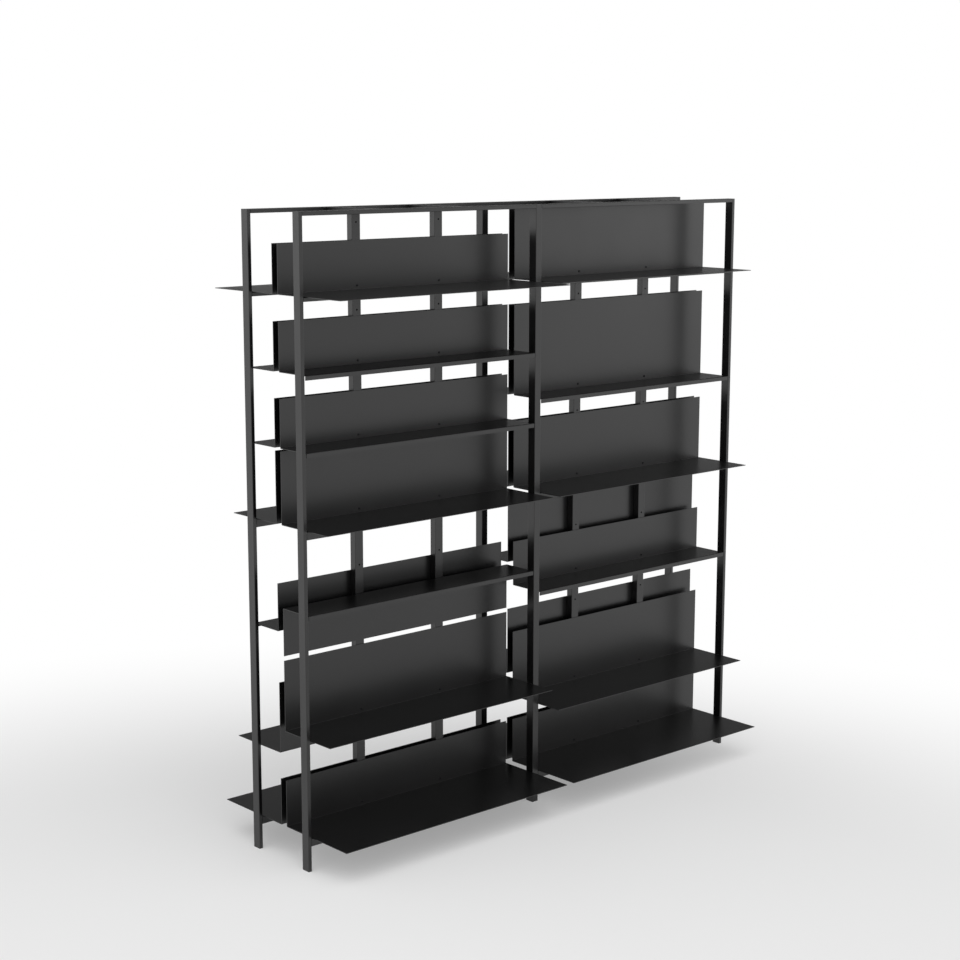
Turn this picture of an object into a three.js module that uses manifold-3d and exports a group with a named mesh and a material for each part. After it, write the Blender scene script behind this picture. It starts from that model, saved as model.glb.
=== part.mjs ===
// Double sided library shelving in folded and tubular steel, two bays long.
// Millimetres, +Z up. X runs along the length, the front is towards -Y and the back towards +Y.
// The origin is on the floor, under the middle of the unit.

import * as THREE from 'three';
import { mergeVertices } from 'three/addons/utils/BufferGeometryUtils.js';
import Module from 'manifold-3d';

// Frame of flat steel tube
const UNIT_HEIGHT = 2000;
const UNIT_LENGTH = 1900;
const FRAME_DEPTH = 290;
const TUBE_THIN = 12.5;
const TUBE_DEEP = 32;
const TUBE_CORNER = 1.5;
const TUBE_WALL = 1.5;
const MIDDLE_POST_WIDTH = 25;
const LOAD_RAIL_HEIGHT = 25;
const FLOOR_CLEARANCE = 79.5;

// Perforated standards that carry the shelves at mid depth
const STANDARD_WIDTH = 32;
const STANDARD_DEPTH = 25;
const STANDARD_WALL = 2;
const STANDARD_SPACING = 328;
const HOLE_DIAMETER = 6;
const HOLE_PITCH = 133;
const HOLE_FROM_TOP = 29.5;
const HOLE_END_MARGIN = 60;

// Folded sheet shelves
const SHEET = 2;
const BEND_RADIUS = 1;
const MEDIUM_DEPTH = 225;
const DEEP_DEPTH = 300;
const LOW_BACK = 150;
const MEDIUM_BACK = 225;
const TALL_BACK = 300;
const TOP_BACK = 232;
const LIP_HEIGHT = 14.5;
const SHELF_END_GAP = 3;

// Spaces between one shelf's back plate and the next shelf
const TOP_CLEARANCE = 2.5;
const TIGHT_SPACE = 8.5;
const HUNG_SPACE = 14.5;
const PANEL_SPACE = 34.5;

// How the height that the back plates leave free is shared among the wider spaces
const LEFT_LOWEST_SHARE = 0.274;
const LEFT_UPPER_SHARE = 0.139;
const RIGHT_LOWEST_SHARE = 0.194;
const RIGHT_SECOND_SHARE = 0.377;
const RIGHT_TALL_SHARE = 0.507;

// Seam between pieces that are fastened face to face
const SEAM = 0.25;
const LEVEL_STEP = 0.5;
const CORNER_STEPS = 3;
const HOLE_SIDES = 12;

const wasm = await Module();
wasm.setup();

const frameCoat = new THREE.MeshStandardMaterial({ color: 0x3f3f41, roughness: 0.5, metalness: 0.35 });
const shelfCoat = new THREE.MeshStandardMaterial({ color: 0x3a3a3c, roughness: 0.55, metalness: 0.3 });

const unit = new THREE.Group();

// Places worked out from the driving sizes
const bayClear = (UNIT_LENGTH - TUBE_THIN * 2 - MIDDLE_POST_WIDTH) / 2;
const bays = {
  left: -(bayClear + MIDDLE_POST_WIDTH) / 2,
  right: (bayClear + MIDDLE_POST_WIDTH) / 2,
};
const sides = { front: -1, back: 1 };
const postLine = FRAME_DEPTH / 2 - TUBE_DEEP / 2;
const railInnerFace = FRAME_DEPTH / 2 - TUBE_DEEP;
const standardFace = STANDARD_DEPTH / 2 + SEAM;
const standardTop = UNIT_HEIGHT - TUBE_THIN - SEAM;

// The shallow shelves end flush with the outer faces of the posts
const shallowDepth = FRAME_DEPTH / 2 - standardFace - SHEET;

// Heights of the shelf plates' undersides, stacked between the bottom rails and the top
const toStep = (height) => Math.round(height / LEVEL_STEP) * LEVEL_STEP;
const base = FLOOR_CLEARANCE + LOAD_RAIL_HEIGHT + SEAM;
const upper = UNIT_HEIGHT - TUBE_THIN - TOP_CLEARANCE - TOP_BACK;
const leftBacks = LOW_BACK * 4 + MEDIUM_BACK * 2 + HUNG_SPACE + TIGHT_SPACE;
const leftFree = upper - base - leftBacks;
const lifted = toStep(base + LOW_BACK + leftFree * LEFT_LOWEST_SHARE);
const hung = toStep(lifted + MEDIUM_BACK + HUNG_SPACE + LOW_BACK - SHEET);
const second = toStep(upper - leftFree * LEFT_UPPER_SHARE - LOW_BACK);
const third = toStep(second - leftFree * LEFT_UPPER_SHARE - LOW_BACK);
const middle = third - TIGHT_SPACE - MEDIUM_BACK;
const rightFree = middle - base - LOW_BACK * 2 - MEDIUM_BACK;
const low = toStep(base + LOW_BACK + rightFree * RIGHT_LOWEST_SHARE);
const fourth = toStep(low + MEDIUM_BACK + rightFree * RIGHT_SECOND_SHARE);
const rightUpperFree = upper - middle - MEDIUM_BACK - TALL_BACK;
const tall = toStep(middle + MEDIUM_BACK + rightUpperFree * RIGHT_TALL_SHARE);
const panel = middle - PANEL_SPACE - MEDIUM_BACK;

function add(name, geometry, material, x, y, z) {
  const mesh = new THREE.Mesh(geometry, material.clone());
  mesh.name = name;
  mesh.position.set(x, y, z);
  unit.add(mesh);
}

function roundedRectangle(width, height, radius) {
  const halfWidth = width / 2;
  const halfHeight = height / 2;
  const shape = new THREE.Shape();
  shape.absarc(halfWidth - radius, halfHeight - radius, radius, 0, Math.PI / 2);
  shape.absarc(radius - halfWidth, halfHeight - radius, radius, Math.PI / 2, Math.PI);
  shape.absarc(radius - halfWidth, radius - halfHeight, radius, Math.PI, Math.PI * 1.5);
  shape.absarc(halfWidth - radius, radius - halfHeight, radius, Math.PI * 1.5, Math.PI * 2);
  return shape;
}

// A run of shape, pushed out by length along +Z from its own plane
function run(shape, length) {
  const options = { depth: length, bevelEnabled: false, curveSegments: CORNER_STEPS, steps: 1 };
  return new THREE.ExtrudeGeometry(shape, options);
}

function toSolid(geometry) {
  const bare = geometry.clone();
  bare.deleteAttribute('normal');
  bare.deleteAttribute('uv');
  const merged = mergeVertices(bare);
  const vertProperties = new Float32Array(merged.attributes.position.array);
  const triVerts = new Uint32Array(merged.index.array);
  return new wasm.Manifold(new wasm.Mesh({ numProp: 3, vertProperties, triVerts }));
}

function toGeometry(solid) {
  const mesh = solid.getMesh();
  const geometry = new THREE.BufferGeometry();
  geometry.setAttribute('position', new THREE.BufferAttribute(mesh.vertProperties, 3));
  geometry.setIndex(new THREE.BufferAttribute(mesh.triVerts, 1));
  geometry.computeVertexNormals();
  return geometry;
}

function bored(outside, bore) {
  return toGeometry(toSolid(outside).subtract(toSolid(bore)));
}

// An upright tube with its middle at the origin, closed at the top and open at the foot
function tubeAlongZ(width, depth, height) {
  const tube = run(roundedRectangle(width, depth, TUBE_CORNER), height);
  const bore = new THREE.BoxGeometry(width - TUBE_WALL * 2, depth - TUBE_WALL * 2, height);
  return bored(tube.translate(0, 0, -height / 2), bore.translate(0, 0, -TUBE_WALL));
}

// Level tubes with their middle at the origin, open at both ends
function tubeAlongX(length, depth, height) {
  const tube = run(roundedRectangle(height, depth, TUBE_CORNER), length);
  const bore = new THREE.BoxGeometry(length * 2, depth - TUBE_WALL * 2, height - TUBE_WALL * 2);
  return bored(tube.translate(0, 0, -length / 2).rotateY(Math.PI / 2), bore);
}

function tubeAlongY(width, length, height) {
  const tube = run(roundedRectangle(width, height, TUBE_CORNER), length);
  const bore = new THREE.BoxGeometry(width - TUBE_WALL * 2, length * 2, height - TUBE_WALL * 2);
  return bored(tube.translate(0, 0, -length / 2).rotateX(Math.PI / 2), bore);
}

// Posts from the floor to the top, a front and a back one at each end and between the bays
function addPosts() {
  const endLine = (UNIT_LENGTH - TUBE_THIN) / 2;
  const posts = [
    ['left', -endLine, TUBE_THIN],
    ['middle', 0, MIDDLE_POST_WIDTH],
    ['right', endLine, TUBE_THIN],
  ];
  for (const [side, facing] of Object.entries(sides)) {
    for (const [place, x, width] of posts) {
      const post = tubeAlongZ(width, TUBE_DEEP, UNIT_HEIGHT);
      add(`post_${side}_${place}`, post, frameCoat, x, facing * postLine, UNIT_HEIGHT / 2);
    }
  }
}

// Rails between the posts: at the top, and under the shelves that reach past the posts
function addRails() {
  const rails = [
    ['top', UNIT_HEIGHT, TUBE_THIN],
    ['upper', upper - SEAM, TUBE_THIN],
    ['middle', middle - SEAM, LOAD_RAIL_HEIGHT],
    ['bottom', base - SEAM, LOAD_RAIL_HEIGHT],
  ];
  const length = bayClear - SEAM * 2;
  for (const [level, top, height] of rails) {
    for (const [side, facing] of Object.entries(sides)) {
      for (const [bay, centre] of Object.entries(bays)) {
        const rail = tubeAlongX(length, TUBE_DEEP, height);
        add(`rail_${level}_${side}_${bay}`, rail, frameCoat, centre, facing * postLine, top - height / 2);
      }
    }
  }
}

// A perforated standard: open rectangular tube with a row of holes through its two wide faces
function standardGeometry(height) {
  const innerWidth = STANDARD_WIDTH - STANDARD_WALL * 2;
  const innerDepth = STANDARD_DEPTH - STANDARD_WALL * 2;
  const outline = roundedRectangle(STANDARD_WIDTH, STANDARD_DEPTH, TUBE_CORNER);
  const bore = new THREE.BoxGeometry(innerWidth, innerDepth, height * 2);
  let solid = toSolid(run(outline, height)).subtract(toSolid(bore));
  const drill = new THREE.CylinderGeometry(
    HOLE_DIAMETER / 2, HOLE_DIAMETER / 2, STANDARD_DEPTH * 2, HOLE_SIDES);
  for (let z = height - HOLE_FROM_TOP; z > HOLE_END_MARGIN; z -= HOLE_PITCH) {
    const hole = drill.clone().translate(0, 0, z);
    solid = solid.subtract(toSolid(hole));
  }
  return toGeometry(solid);
}

// Two standards in each bay, held between cross bars at the top and the bottom
function addStandards() {
  const barLength = (railInnerFace - SEAM) * 2;
  const standard = standardGeometry(standardTop - base);
  for (const [bay, centre] of Object.entries(bays)) {
    for (const [index, place] of [-1, 1].entries()) {
      const label = `${bay}_${index + 1}`;
      const x = centre + place * STANDARD_SPACING / 2;
      const topBar = tubeAlongY(STANDARD_WIDTH, barLength, TUBE_THIN);
      const bottomBar = tubeAlongY(STANDARD_WIDTH, barLength, LOAD_RAIL_HEIGHT);
      add(`standard_${label}`, standard.clone(), frameCoat, x, 0, base);
      add(`crossbar_top_${label}`, topBar, frameCoat, x, 0, UNIT_HEIGHT - TUBE_THIN / 2);
      add(`crossbar_bottom_${label}`, bottomBar, frameCoat, x, 0, base - SEAM - LOAD_RAIL_HEIGHT / 2);
    }
  }
}

// The folded section of a shelf: u runs out from the standard, v runs up from the plate's underside.
// The back plate stands up from the plate, and a lip, where there is one, turns down at the edge.
function shelfSection(depth, back, lip) {
  const outer = BEND_RADIUS + SHEET;
  const edge = SHEET + depth;
  const section = new THREE.Shape();
  section.moveTo(0, outer);
  section.absarc(outer, outer, outer, Math.PI, Math.PI * 1.5);
  if (lip) {
    section.absarc(edge - outer, SHEET - outer, BEND_RADIUS, Math.PI / 2, 0, true);
    section.lineTo(edge - SHEET, SHEET - lip);
    section.lineTo(edge, SHEET - lip);
    section.absarc(edge - outer, SHEET - outer, outer, 0, Math.PI / 2);
  } else {
    section.lineTo(edge, 0);
    section.lineTo(edge, SHEET);
  }
  section.absarc(outer, outer, BEND_RADIUS, Math.PI * 1.5, Math.PI, true);
  section.lineTo(SHEET, back);
  section.lineTo(0, back);
  return section;
}

// A hung shelf is folded the other way, with its back plate below the plate
function hungSection(depth, back, lip) {
  const outer = BEND_RADIUS + SHEET;
  const edge = SHEET + depth;
  const section = new THREE.Shape();
  section.moveTo(0, SHEET - back);
  section.lineTo(SHEET, SHEET - back);
  section.absarc(outer, SHEET - outer, BEND_RADIUS, Math.PI, Math.PI / 2, true);
  section.absarc(edge - outer, SHEET - outer, BEND_RADIUS, Math.PI / 2, 0, true);
  section.lineTo(edge - SHEET, SHEET - lip);
  section.lineTo(edge, SHEET - lip);
  section.absarc(edge - outer, SHEET - outer, outer, 0, Math.PI / 2);
  section.absarc(outer, SHEET - outer, outer, Math.PI / 2, Math.PI);
  return section;
}

// Stand a section on the front or the back of the standards and run it along the bay
function shelfGeometry(section, facing, length) {
  const sheet = run(section, length).translate(0, 0, -length / 2);
  const towards = facing < 0 ? -Math.PI / 2 : Math.PI / 2;
  return sheet.rotateX(Math.PI / 2).rotateZ(towards);
}

// Every shelf of a bay and side, from the floor up: height, depth, back plate, lip and fold
const deep = (level) => [level, DEEP_DEPTH, LOW_BACK, 0, shelfSection];
const medium = (level, back = MEDIUM_BACK) => [level, MEDIUM_DEPTH, back, 0, shelfSection];
const shallow = (level, back, lip = LIP_HEIGHT) => [level, shallowDepth, back, lip, shelfSection];
const hanging = (level) => [level, shallowDepth, LOW_BACK, LIP_HEIGHT, hungSection];
const shelves = {
  front_left: [
    deep(base), medium(lifted), hanging(hung), medium(middle),
    shallow(third, LOW_BACK), shallow(second, LOW_BACK), deep(upper),
  ],
  front_right: [
    deep(base), medium(low), shallow(fourth, LOW_BACK), medium(middle),
    shallow(tall, TALL_BACK), medium(upper, TOP_BACK),
  ],
  back_left: [
    deep(base), medium(low), shallow(fourth, LOW_BACK), medium(middle),
    shallow(third, LOW_BACK, 0), shallow(second, LOW_BACK, 0), deep(upper),
  ],
  back_right: [
    deep(base), medium(lifted), shallow(panel, MEDIUM_BACK), medium(middle),
    shallow(tall, TALL_BACK), medium(upper, TOP_BACK),
  ],
};

function addShelves() {
  const length = bayClear - SHELF_END_GAP * 2;
  for (const [side, facing] of Object.entries(sides)) {
    for (const [bay, centre] of Object.entries(bays)) {
      for (const [index, row] of shelves[`${side}_${bay}`].entries()) {
        const [level, depth, back, lip, fold] = row;
        const sheet = shelfGeometry(fold(depth, back, lip), facing, length);
        const name = `shelf_${side}_${bay}_${index + 1}`;
        add(name, sheet, shelfCoat, centre, facing * standardFace, level);
      }
    }
  }
}

addPosts();
addRails();
addStandards();
addShelves();

export default unit;
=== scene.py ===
import math

import bpy
from mathutils import Matrix, Vector


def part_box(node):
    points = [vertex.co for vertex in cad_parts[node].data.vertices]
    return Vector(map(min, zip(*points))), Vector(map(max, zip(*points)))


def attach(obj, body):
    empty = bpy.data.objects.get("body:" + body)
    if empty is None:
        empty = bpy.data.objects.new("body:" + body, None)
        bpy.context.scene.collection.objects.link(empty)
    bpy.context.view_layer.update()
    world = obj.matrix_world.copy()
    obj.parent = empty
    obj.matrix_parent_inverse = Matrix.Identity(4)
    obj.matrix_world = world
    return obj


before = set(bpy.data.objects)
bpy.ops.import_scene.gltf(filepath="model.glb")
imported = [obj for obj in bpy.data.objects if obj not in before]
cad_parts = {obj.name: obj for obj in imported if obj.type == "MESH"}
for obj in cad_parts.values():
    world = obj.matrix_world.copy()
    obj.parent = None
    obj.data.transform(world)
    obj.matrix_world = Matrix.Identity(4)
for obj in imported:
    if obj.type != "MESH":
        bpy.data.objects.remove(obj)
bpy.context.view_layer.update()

# Screws that hold each shelf's back plate to the standards, in metres
SCREW_RADIUS = 0.0036
SCREW_HEIGHT = 0.0022
SCREW_SIDES = 24
SOCKET_RADIUS = 0.0016
SOCKET_DEPTH = 0.0012
SOCKET_SIDES = 6
SCREW_ABOVE_PLATE = 0.012
SCREW_BELOW_PLATE = 0.014

# Dome of a screw head from its flat out to its rim, as shares of its radius and height
SCREW_DOME = ((0.62, 1.0), (0.86, 0.8), (1.0, 0.4), (1.0, 0.0))

# Folded sheet of the shelves: its thickness, the band read as a free edge, and what counts as level
SHEET = 0.002
EDGE_BAND = 0.004
LEVEL_TOLERANCE = 0.004
SMOOTH_ANGLE = math.radians(40)

# Black satin powder coat: dark and light tone, and the range of its roughness
FRAME_TONES = ((0.0022, 0.0022, 0.0023), (0.0042, 0.0042, 0.0044))
FRAME_ROUGHNESS = (0.26, 0.35)
SHELF_TONES = ((0.0020, 0.0020, 0.0021), (0.0038, 0.0038, 0.0040))
SHELF_ROUGHNESS = (0.27, 0.36)
COAT_TONE_ENDS = (0.3, 0.7)
COAT_SPECULAR = 0.68
COAT_BUMP_STRENGTH = 0.08
COAT_BUMP_HEIGHT = 0.0004

# Blackened steel of the screws
OXIDE_TONES = ((0.010, 0.010, 0.011), (0.035, 0.035, 0.037))
OXIDE_METALLIC = 0.8
OXIDE_ROUGHNESS = 0.38

# Noise patterns, each by its scale and detail
COAT_CLOUD = (6.0, 4.0)
COAT_GRAIN = (700.0, 2.0)
OXIDE_MOTTLE = (400.0, 3.0)
FLOOR_CLOUD = (0.6, 2.0)

# Floor, and the distances from its centre between which it fades to white
FLOOR_HALF = 40.0
FLOOR_CENTRE = (-1.5, -1.2, 0.0)
FLOOR_TONES = ((0.75, 0.75, 0.75), (0.78, 0.78, 0.78))
FADE_START = 2.0
FADE_END = 4.0
NEAR_GLOW = 0.3

# Surrounding light: its strength on the camera's side and behind the object, and the backdrop's upper edge
AWAY_FROM_CAMERA = (0.66, 0.75, 0.0)
FILL_NEAR = 0.92
FILL_BEHIND = 0.12
BACKDROP_RISE = (0.02, 0.12)
WHITE = (1.0, 1.0, 1.0, 1.0)

# Soft square lamps: name, place, the point each one faces, side in metres, power in watts
LAMPS = (
    ("overhead_lamp", (-2.0, -2.0, 6.0), (-1.0, -1.0, 0.0), 9.0, 305.0),
    ("left_lamp", (-5.5, 5.0, 2.3), (-0.5, 0.0, 1.5), 2.4, 13.0),
    ("right_lamp", (6.0, -4.6, 2.3), (0.5, 0.0, 1.5), 2.4, 15.0),
)

# Camera of the photograph
CAMERA_PLACE = (-4.1964, -4.5705, 2.2062)
CAMERA_YAW = math.radians(-41.71)
CAMERA_TILT = math.radians(79.758)
CAMERA_ROLL = math.radians(0.087)
CAMERA_LENS = 70.81
CAMERA_SENSOR = 36.0
CAMERA_REACH = 200.0


# Empty node tree of a material or a world
def node_tree(owner):
    owner.use_nodes = True
    tree = owner.node_tree
    tree.nodes.clear()
    return tree


def noise(tree, coordinates, pattern):
    texture = tree.nodes.new("ShaderNodeTexNoise")
    texture.inputs["Scale"].default_value, texture.inputs["Detail"].default_value = pattern
    tree.links.new(coordinates.outputs["Object"], texture.inputs["Vector"])
    return texture.outputs["Fac"]


# Colour that goes from the first tone to the second as a value goes from one end to the other
def toned(tree, value, tones, ends=(0.0, 1.0)):
    node = tree.nodes.new("ShaderNodeValToRGB")
    for element, position, tone in zip(node.color_ramp.elements, ends, tones):
        element.position = position
        element.color = (*tone, 1.0)
    tree.links.new(value, node.inputs["Fac"])
    return node.outputs["Color"]


def combine(tree, operation, first, second):
    node = tree.nodes.new("ShaderNodeMath")
    node.operation = operation
    tree.links.new(first, node.inputs[0])
    tree.links.new(second, node.inputs[1])
    return node.outputs["Value"]


def map_range(tree, value, source, target, interpolation="LINEAR"):
    node = tree.nodes.new("ShaderNodeMapRange")
    node.interpolation_type = interpolation
    node.inputs["From Min"].default_value, node.inputs["From Max"].default_value = source
    node.inputs["To Min"].default_value, node.inputs["To Max"].default_value = target
    tree.links.new(value, node.inputs["Value"])
    return node.outputs["Result"]


# Rays that a gloss or a clear surface sends on
def mirrored_rays(tree, path):
    return combine(tree, "MAXIMUM", path.outputs["Is Glossy Ray"], path.outputs["Is Transmission Ray"])


# Plain surface that turns to white by a share
def mix_to_white(tree, share, plain, white, output):
    mix = tree.nodes.new("ShaderNodeMixShader")
    tree.links.new(share, mix.inputs["Fac"])
    tree.links.new(plain, mix.inputs[1])
    tree.links.new(white, mix.inputs[2])
    tree.links.new(mix.outputs["Shader"], output.inputs["Surface"])


# Shader of one of the object's materials, with its colour and its output linked
def principled(tree, colour):
    shader = tree.nodes.new("ShaderNodeBsdfPrincipled")
    output = tree.nodes.new("ShaderNodeOutputMaterial")
    tree.links.new(colour, shader.inputs["Base Color"])
    tree.links.new(shader.outputs["BSDF"], output.inputs["Surface"])
    return shader


# Satin powder coat: a fine grain, with slow changes of tone and gloss over the sheet
def powder_coat(name, tones, roughness):
    material = bpy.data.materials.new(name)
    tree = node_tree(material)
    coordinates = tree.nodes.new("ShaderNodeTexCoord")
    cloud = noise(tree, coordinates, COAT_CLOUD)
    shader = principled(tree, toned(tree, cloud, tones, COAT_TONE_ENDS))
    shader.inputs["Specular IOR Level"].default_value = COAT_SPECULAR
    gloss = map_range(tree, cloud, (0.0, 1.0), roughness)
    tree.links.new(gloss, shader.inputs["Roughness"])
    bump = tree.nodes.new("ShaderNodeBump")
    bump.inputs["Strength"].default_value = COAT_BUMP_STRENGTH
    bump.inputs["Distance"].default_value = COAT_BUMP_HEIGHT
    tree.links.new(noise(tree, coordinates, COAT_GRAIN), bump.inputs["Height"])
    tree.links.new(bump.outputs["Normal"], shader.inputs["Normal"])
    return material


# Blackened steel with a faint mottle
def black_oxide(name):
    material = bpy.data.materials.new(name)
    tree = node_tree(material)
    mottle = noise(tree, tree.nodes.new("ShaderNodeTexCoord"), OXIDE_MOTTLE)
    shader = principled(tree, toned(tree, mottle, OXIDE_TONES))
    shader.inputs["Metallic"].default_value = OXIDE_METALLIC
    shader.inputs["Roughness"].default_value = OXIDE_ROUGHNESS
    return material


def dress(obj, material):
    obj.data.materials.clear()
    obj.data.materials.append(material)
    for polygon in obj.data.polygons:
        polygon.use_smooth = True
    obj.data.set_sharp_from_angle(angle=SMOOTH_ANGLE)


# Hexagon socket: distance of its wall from the axis at an angle
def socket_wall(angle):
    side = 2 * math.pi / SOCKET_SIDES
    return SOCKET_RADIUS * math.cos(side / 2) / math.cos(angle % side - side / 2)


# One button head, as rings of points from the socket's floor out to the rim
def screw_rings():
    angles = [2 * math.pi * step / SCREW_SIDES for step in range(SCREW_SIDES)]
    rings = []
    for height in (SCREW_HEIGHT - SOCKET_DEPTH, SCREW_HEIGHT):
        rings.append([(socket_wall(a) * math.cos(a), socket_wall(a) * math.sin(a), height) for a in angles])
    for radius_share, height_share in SCREW_DOME:
        radius = SCREW_RADIUS * radius_share
        height = SCREW_HEIGHT * height_share
        rings.append([(radius * math.cos(a), radius * math.sin(a), height) for a in angles])
    return rings


# Faces of one head: the bands between its rings, the socket's floor and the underside
def screw_faces(first, ring_count):
    faces = []
    for row in range(ring_count - 1):
        low = first + row * SCREW_SIDES
        high = low + SCREW_SIDES
        for step in range(SCREW_SIDES):
            after = (step + 1) % SCREW_SIDES
            faces.append((low + after, low + step, high + step, high + after))
    rim = first + (ring_count - 1) * SCREW_SIDES
    faces.append([first + step for step in range(SCREW_SIDES)])
    faces.append([rim + step for step in reversed(range(SCREW_SIDES))])
    return faces


# The screws of one shelf in one mesh: each head stands out from the back plate, the way the shelf faces
def shelf_screws(name, places, facing, material):
    vertices = []
    faces = []
    rings = screw_rings()
    for x, y, z in places:
        faces += screw_faces(len(vertices), len(rings))
        for ring in rings:
            for across, up, out in ring:
                vertices.append((x - facing * across, y + facing * out, z + up))
    mesh = bpy.data.meshes.new(name)
    mesh.from_pydata(vertices, [], faces)
    mesh.update()
    screws = bpy.data.objects.new(name, mesh)
    bpy.context.scene.collection.objects.link(screws)
    dress(screws, material)
    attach(screws, "root")


# Height of a shelf's plate, read at its free edge
def plate_top(node, facing):
    points = [vertex.co for vertex in node.data.vertices]
    edge = max(facing * point.y for point in points)
    return max(point.z for point in points if facing * point.y > edge - EDGE_BAND)


# Centre line of each standard in a bay
def standard_centres(bay):
    centres = []
    for name in sorted(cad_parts):
        if name.startswith("standard_%s_" % bay):
            low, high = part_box(name)
            centres.append((low[0] + high[0]) / 2)
    return centres


def add_screws(material):
    for name in sorted(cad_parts):
        if not name.startswith("shelf_"):
            continue
        side, bay, number = name.split("_")[1:]
        facing = -1 if side == "front" else 1
        low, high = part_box(name)
        plate = plate_top(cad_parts[name], facing)
        hangs = high[2] - plate < LEVEL_TOLERANCE
        z = plate - SCREW_BELOW_PLATE if hangs else plate + SCREW_ABOVE_PLATE
        back_face = min(abs(low[1]), abs(high[1])) + SHEET
        places = [(x, facing * back_face, z) for x in standard_centres(bay)]
        shelf_screws("screws_%s_%s_%s" % (side, bay, number), places, facing, material)


# Pale floor that keeps the object's shadow and turns to white far away
def pale_floor():
    material = bpy.data.materials.new("pale_floor")
    tree = node_tree(material)
    coordinates = tree.nodes.new("ShaderNodeTexCoord")
    matt = tree.nodes.new("ShaderNodeBsdfDiffuse")
    tree.links.new(toned(tree, noise(tree, coordinates, FLOOR_CLOUD), FLOOR_TONES), matt.inputs["Color"])
    white = tree.nodes.new("ShaderNodeEmission")
    white.inputs["Color"].default_value = WHITE
    white.inputs["Strength"].default_value = 1.0
    distance = tree.nodes.new("ShaderNodeVectorMath")
    distance.operation = "LENGTH"
    tree.links.new(coordinates.outputs["Object"], distance.inputs[0])
    far = map_range(tree, distance.outputs["Value"], (FADE_START, FADE_END), (NEAR_GLOW, 1.0), "SMOOTHSTEP")
    path = tree.nodes.new("ShaderNodeLightPath")
    seen = combine(tree, "MAXIMUM", path.outputs["Is Camera Ray"], mirrored_rays(tree, path))
    share = combine(tree, "MULTIPLY", seen, far)
    output = tree.nodes.new("ShaderNodeOutputMaterial")
    mix_to_white(tree, share, matt.outputs["BSDF"], white.outputs["Emission"], output)
    return material


def add_floor():
    mesh = bpy.data.meshes.new("floor")
    corners = [(x * FLOOR_HALF, y * FLOOR_HALF, 0.0) for x, y in ((-1, -1), (1, -1), (1, 1), (-1, 1))]
    mesh.from_pydata(corners, [], [(0, 1, 2, 3)])
    mesh.materials.append(pale_floor())
    floor = bpy.data.objects.new("floor", mesh)
    floor.location = FLOOR_CENTRE
    bpy.context.scene.collection.objects.link(floor)


# White to the camera, a low white backdrop in a gloss, and a light that is dim behind the object
def add_world():
    world = bpy.data.worlds.new("studio")
    bpy.context.scene.world = world
    tree = node_tree(world)
    coordinates = tree.nodes.new("ShaderNodeTexCoord")
    behind = tree.nodes.new("ShaderNodeVectorMath")
    behind.operation = "DOT_PRODUCT"
    behind.inputs[1].default_value = AWAY_FROM_CAMERA
    tree.links.new(coordinates.outputs["Generated"], behind.inputs[0])
    strength = map_range(tree, behind.outputs["Value"], (-1.0, 1.0), (FILL_NEAR, FILL_BEHIND))
    fill = tree.nodes.new("ShaderNodeBackground")
    fill.inputs["Color"].default_value = WHITE
    tree.links.new(strength, fill.inputs["Strength"])
    white = tree.nodes.new("ShaderNodeBackground")
    white.inputs["Color"].default_value = WHITE
    white.inputs["Strength"].default_value = 1.0
    axes = tree.nodes.new("ShaderNodeSeparateXYZ")
    tree.links.new(coordinates.outputs["Generated"], axes.inputs["Vector"])
    backdrop = map_range(tree, axes.outputs["Z"], BACKDROP_RISE, (1.0, 0.0), "SMOOTHSTEP")
    path = tree.nodes.new("ShaderNodeLightPath")
    mirrored = combine(tree, "MULTIPLY", mirrored_rays(tree, path), backdrop)
    seen = combine(tree, "MAXIMUM", path.outputs["Is Camera Ray"], mirrored)
    output = tree.nodes.new("ShaderNodeOutputWorld")
    mix_to_white(tree, seen, fill.outputs["Background"], white.outputs["Background"], output)


def add_lamp(name, place, target, side, power):
    data = bpy.data.lights.new(name, "AREA")
    data.shape = "SQUARE"
    data.size = side
    data.energy = power
    lamp = bpy.data.objects.new(name, data)
    lamp.location = place
    lamp.visible_camera = False
    lamp.rotation_mode = "QUATERNION"
    lamp.rotation_quaternion = (Vector(target) - Vector(place)).to_track_quat("-Z", "Y")
    bpy.context.scene.collection.objects.link(lamp)


def add_camera():
    data = bpy.data.cameras.new("photo_camera")
    data.lens = CAMERA_LENS
    data.sensor_width = CAMERA_SENSOR
    data.clip_end = CAMERA_REACH
    camera = bpy.data.objects.new("photo_camera", data)
    turn = Matrix.Rotation(CAMERA_YAW, 4, "Z") @ Matrix.Rotation(CAMERA_TILT, 4, "X")
    turn = turn @ Matrix.Rotation(CAMERA_ROLL, 4, "Z")
    camera.matrix_world = Matrix.Translation(CAMERA_PLACE) @ turn
    bpy.context.scene.collection.objects.link(camera)
    bpy.context.scene.camera = camera


frame_coat = powder_coat("frame_powder_coat", FRAME_TONES, FRAME_ROUGHNESS)
shelf_coat = powder_coat("shelf_powder_coat", SHELF_TONES, SHELF_ROUGHNESS)
for name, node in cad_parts.items():
    dress(node, shelf_coat if name.startswith("shelf_") else frame_coat)
add_screws(black_oxide("screw_black_oxide"))

add_floor()
add_world()
for lamp in LAMPS:
    add_lamp(*lamp)
add_camera()
bpy.context.scene.view_settings.view_transform = "Standard"
